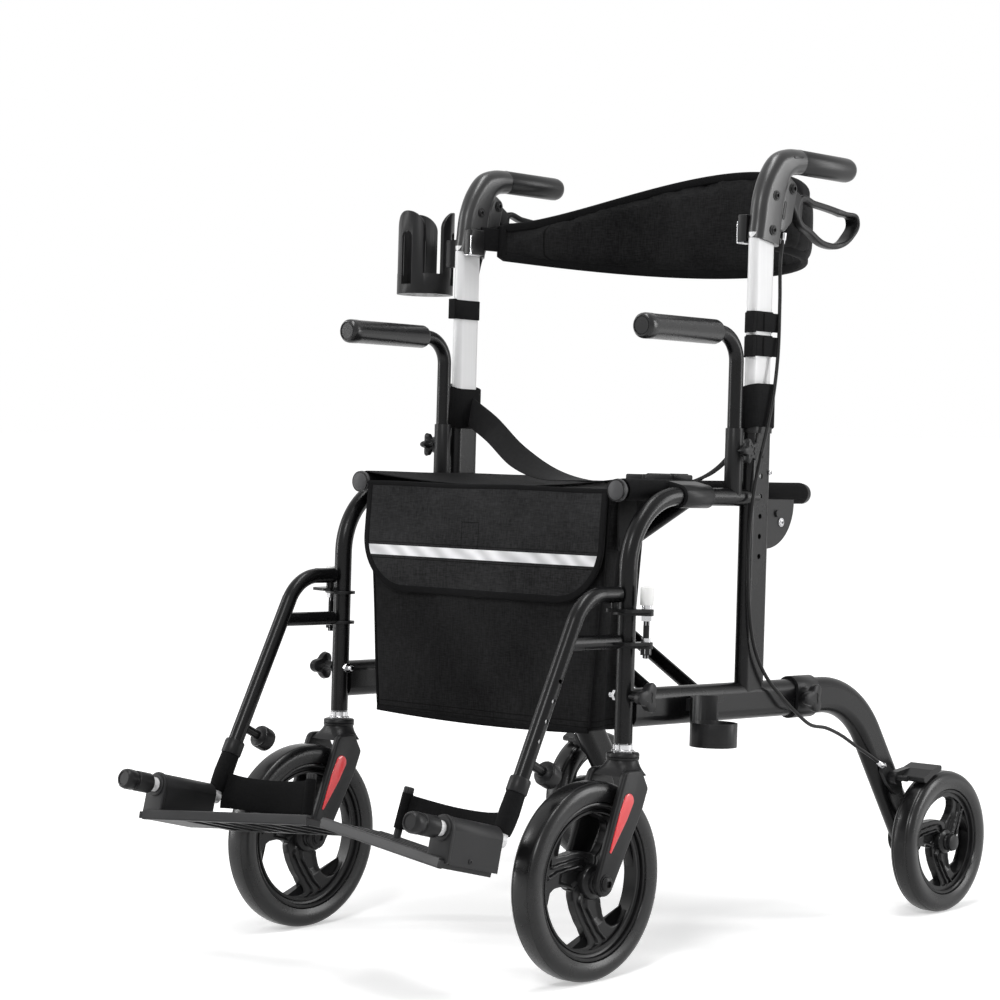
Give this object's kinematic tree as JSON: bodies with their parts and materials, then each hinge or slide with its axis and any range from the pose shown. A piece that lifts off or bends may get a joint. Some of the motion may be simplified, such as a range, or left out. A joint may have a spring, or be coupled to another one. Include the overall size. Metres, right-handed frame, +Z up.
{
  "type": "rollator transport chair",
  "caption": "Folding wheeled walking frame with a sling seat, padded armrests, swing-away footrests and push handles with brakes, so that it also serves as a pushed transport chair.",
  "frame": {"origin": "on the floor, in the middle between the two side frames, a little behind the uprights", "axes": "X to the sitter's left, Y backwards from the footrests to the rear wheels, Z up"},
  "size_m": [0.7414, 1.1321, 1.0771],
  "materials": {
    "black_frame": "glossy black powder coat",
    "white_tube": "smooth white coated tube",
    "black_plastic": "satin moulded black",
    "grey_plastic": "satin dark grey moulding",
    "soft_grip": "matt soft grip",
    "black_tyre": "smooth black tyre on a black moulded wheel",
    "black_cloth": "black woven nylon"
  },
  "bodies": {
    "left_frame": {"left_front_loop": "black_frame", "left_lower_tube": "black_frame", "left_upright": "black_frame", "left_rear_leg": "black_frame", "left_fittings": "black_plastic", "left_knobs": "black_plastic", "left_brake_cable": "soft_grip", "left_brake_bracket": "black_plastic", "lap_belt": "black_cloth", "belt_buckle": "black_plastic", "cane_cup": "black_plastic"},
    "arm_a": {"cross_arm_a": "black_frame", "right_seat_rail": "black_frame"},
    "arm_b": {"cross_arm_b": "black_frame", "left_seat_rail": "black_frame"},
    "right_frame": {"right_front_loop": "black_frame", "right_lower_tube": "black_frame", "right_upright": "black_frame", "right_rear_leg": "black_frame", "right_fittings": "black_plastic", "right_knobs": "black_plastic", "right_brake_cable": "soft_grip", "right_brake_bracket": "black_plastic"},
    "seat_left": {"seat_left": "black_cloth"},
    "seat_right": {"seat_right": "black_cloth"},
    "bag": {"bag": "black_cloth"},
    "bag_flap": {"bag_flap": "black_cloth"},
    "left_handle": {"left_handle_tube": "white_tube", "left_handle_casting": "grey_plastic", "left_hand_grip": "soft_grip", "backrest": "black_cloth"},
    "left_brake_lever": {"left_brake_lever": "black_plastic"},
    "left_brake_shoe": {"left_brake_shoe": "black_plastic"},
    "left_armrest": {"left_armrest_tube": "black_frame", "left_armrest_pad": "soft_grip"},
    "left_caster": {"left_caster_fork": "black_plastic"},
    "left_front_wheel": {"left_front_wheel": "black_tyre"},
    "left_rear_wheel": {"left_rear_wheel": "black_tyre"},
    "left_hanger": {"left_hanger": "black_frame"},
    "left_leg": {"left_leg_tube": "white_tube"},
    "left_bush": {"left_hinge_bush": "black_plastic"},
    "left_footplate": {"left_footplate": "black_plastic", "left_heel_strap": "black_cloth"},
    "right_handle": {"right_handle_tube": "white_tube", "right_handle_casting": "grey_plastic", "right_hand_grip": "soft_grip", "cup_holder": "black_plastic"},
    "right_brake_lever": {"right_brake_lever": "black_plastic"},
    "right_brake_shoe": {"right_brake_shoe": "black_plastic"},
    "right_armrest": {"right_armrest_tube": "black_frame", "right_armrest_pad": "soft_grip"},
    "right_caster": {"right_caster_fork": "black_plastic"},
    "right_front_wheel": {"right_front_wheel": "black_tyre"},
    "right_rear_wheel": {"right_rear_wheel": "black_tyre"},
    "right_hanger": {"right_hanger": "black_frame"},
    "right_leg": {"right_leg_tube": "white_tube"},
    "right_bush": {"right_hinge_bush": "black_plastic"},
    "right_footplate": {"right_footplate": "black_plastic", "right_heel_strap": "black_cloth"}
  },
  "joints": [
    {"name": "fold", "type": "hinge", "parent": "left_frame", "child": "arm_a", "pos_m": [0.234, -0.13253, 0.33453], "axis": [0, 0.9994, -0.0349], "range_deg": [0, 35.6], "deforming": ["seat_left", "seat_right", "bag", "bag_flap", "backrest", "lap_belt", "belt_buckle", "left_heel_strap", "right_heel_strap"]},
    {"name": "arm_cross", "type": "hinge", "parent": "arm_a", "child": "arm_b", "pos_m": [0, -0.12766, 0.47394], "axis": [0, 0.9994, -0.0349], "range_deg": [-71.2, 0]},
    {"name": "right_side", "type": "hinge", "parent": "arm_b", "child": "right_frame", "pos_m": [-0.234, -0.13253, 0.33453], "axis": [0, 0.9994, -0.0349], "range_deg": [0, 35.6]},
    {"name": "seat_left_tilt", "type": "hinge", "parent": "arm_b", "child": "seat_left", "pos_m": [0.234, -0.12279, 0.61336], "axis": [0, 0.9994, -0.0349], "range_deg": [-27.46, 0]},
    {"name": "seat_crease", "type": "hinge", "parent": "seat_left", "child": "seat_right", "pos_m": [0, -0.12268, 0.61636], "axis": [0, 0.9994, -0.0349], "range_deg": [0, 126.01]},
    {"name": "bag_hang", "type": "hinge", "parent": "arm_b", "child": "bag", "pos_m": [0.234, -0.12279, 0.61336], "axis": [0, 0.9994, -0.0349], "range_deg": [0, 35.6]},
    {"name": "bag_flap_lift", "type": "hinge", "parent": "bag", "child": "bag_flap", "pos_m": [0, -0.27266, 0.61959], "axis": [-1, 0, 0], "range_deg": [0, 110]},
    {"name": "left_handle_height", "type": "slide", "parent": "left_frame", "child": "left_handle", "axis": [0, 0.0349, 0.9994], "range_m": [-0.075, 0.05], "deforming": ["left_brake_cable"]},
    {"name": "left_brake", "type": "hinge", "parent": "left_handle", "child": "left_brake_lever", "pos_m": [0.27, 0.03957, 1.02194], "axis": [1, 0, 0], "range_deg": [0, 13], "stiffness_Nm_per_rad": 4, "springref_deg": -5.73},
    {"name": "left_brake_shoe", "type": "hinge", "parent": "left_frame", "child": "left_brake_shoe", "pos_m": [0.3, 0.27464, 0.19696], "axis": [1, 0, 0], "range_deg": [-3.3, 0]},
    {"name": "left_armrest_height", "type": "slide", "parent": "left_frame", "child": "left_armrest", "axis": [0, 0.0349, 0.9994], "range_m": [-0.045, 0]},
    {"name": "left_caster_swivel", "type": "hinge", "parent": "left_frame", "child": "left_caster", "pos_m": [0.26, -0.29, 0.295], "axis": [0, 0.0349, 0.9994], "continuous": true},
    {"name": "left_front_wheel_spin", "type": "hinge", "parent": "left_caster", "child": "left_front_wheel", "pos_m": [0.26, -0.362, 0.127], "axis": [1, 0, 0], "continuous": true},
    {"name": "left_rear_wheel_spin", "type": "hinge", "parent": "left_frame", "child": "left_rear_wheel", "pos_m": [0.326, 0.344, 0.1015], "axis": [1, 0, 0], "continuous": true},
    {"name": "left_hanger_swing", "type": "hinge", "parent": "left_frame", "child": "left_hanger", "pos_m": [0.288, -0.27894, 0.4397], "axis": [0, 0.0349, 0.9994], "range_deg": [0, 155]},
    {"name": "left_leg_length", "type": "slide", "parent": "left_hanger", "child": "left_leg", "axis": [0, 0.4695, 0.8829], "range_m": [-0.054, 0.027]},
    {"name": "left_plate_fold", "type": "hinge", "parent": "left_leg", "child": "left_bush", "pos_m": [0.26, -0.52446, 0.19798], "axis": [0, 0.9681, -0.2504], "range_deg": [0, 89.5]},
    {"name": "left_footplate_flip", "type": "hinge", "parent": "left_bush", "child": "left_footplate", "pos_m": [0.26, -0.52446, 0.19798], "axis": [0, 0.9681, -0.2504], "range_deg": [0, 88], "deforming": ["left_heel_strap"]},
    {"name": "right_handle_height", "type": "slide", "parent": "right_frame", "child": "right_handle", "axis": [0, 0.0349, 0.9994], "range_m": [-0.075, 0.05], "deforming": ["right_brake_cable"]},
    {"name": "right_brake", "type": "hinge", "parent": "right_handle", "child": "right_brake_lever", "pos_m": [-0.27, 0.03957, 1.02194], "axis": [1, 0, 0], "range_deg": [0, 13], "stiffness_Nm_per_rad": 4, "springref_deg": -5.73},
    {"name": "right_brake_shoe", "type": "hinge", "parent": "right_frame", "child": "right_brake_shoe", "pos_m": [-0.3, 0.27464, 0.19696], "axis": [1, 0, 0], "range_deg": [-3.3, 0]},
    {"name": "right_armrest_height", "type": "slide", "parent": "right_frame", "child": "right_armrest", "axis": [0, 0.0349, 0.9994], "range_m": [-0.045, 0]},
    {"name": "right_caster_swivel", "type": "hinge", "parent": "right_frame", "child": "right_caster", "pos_m": [-0.26, -0.29, 0.295], "axis": [0, 0.0349, 0.9994], "continuous": true},
    {"name": "right_front_wheel_spin", "type": "hinge", "parent": "right_caster", "child": "right_front_wheel", "pos_m": [-0.26, -0.362, 0.127], "axis": [1, 0, 0], "continuous": true},
    {"name": "right_rear_wheel_spin", "type": "hinge", "parent": "right_frame", "child": "right_rear_wheel", "pos_m": [-0.326, 0.344, 0.1015], "axis": [1, 0, 0], "continuous": true},
    {"name": "right_hanger_swing", "type": "hinge", "parent": "right_frame", "child": "right_hanger", "pos_m": [-0.288, -0.27894, 0.4397], "axis": [0, -0.0349, -0.9994], "range_deg": [0, 155]},
    {"name": "right_leg_length", "type": "slide", "parent": "right_hanger", "child": "right_leg", "axis": [0, 0.4695, 0.8829], "range_m": [-0.054, 0.027]},
    {"name": "right_plate_fold", "type": "hinge", "parent": "right_leg", "child": "right_bush", "pos_m": [-0.26, -0.52446, 0.19798], "axis": [0, -0.9681, 0.2504], "range_deg": [0, 89.5]},
    {"name": "right_footplate_flip", "type": "hinge", "parent": "right_bush", "child": "right_footplate", "pos_m": [-0.26, -0.52446, 0.19798], "axis": [0, -0.9681, 0.2504], "range_deg": [0, 88], "deforming": ["right_heel_strap"]}
  ],
  "couplings": [
    {"joint": "arm_cross", "follows": "fold", "ratio": -2},
    {"joint": "right_side", "follows": "fold", "ratio": 1},
    {"joint": "seat_left_tilt", "follows": "fold", "ratio": -0.76847},
    {"joint": "seat_crease", "follows": "fold", "ratio": 3.5369},
    {"joint": "bag_hang", "follows": "fold", "ratio": 1},
    {"joint": "left_brake_shoe", "follows": "left_brake", "ratio": -0.25},
    {"joint": "left_plate_fold", "follows": "fold", "ratio": 2.5},
    {"joint": "right_brake_shoe", "follows": "right_brake", "ratio": -0.25},
    {"joint": "right_plate_fold", "follows": "fold", "ratio": 2.5},
    {"joint": "right_handle_height", "follows": "left_handle_height", "ratio": 1}
  ]
}
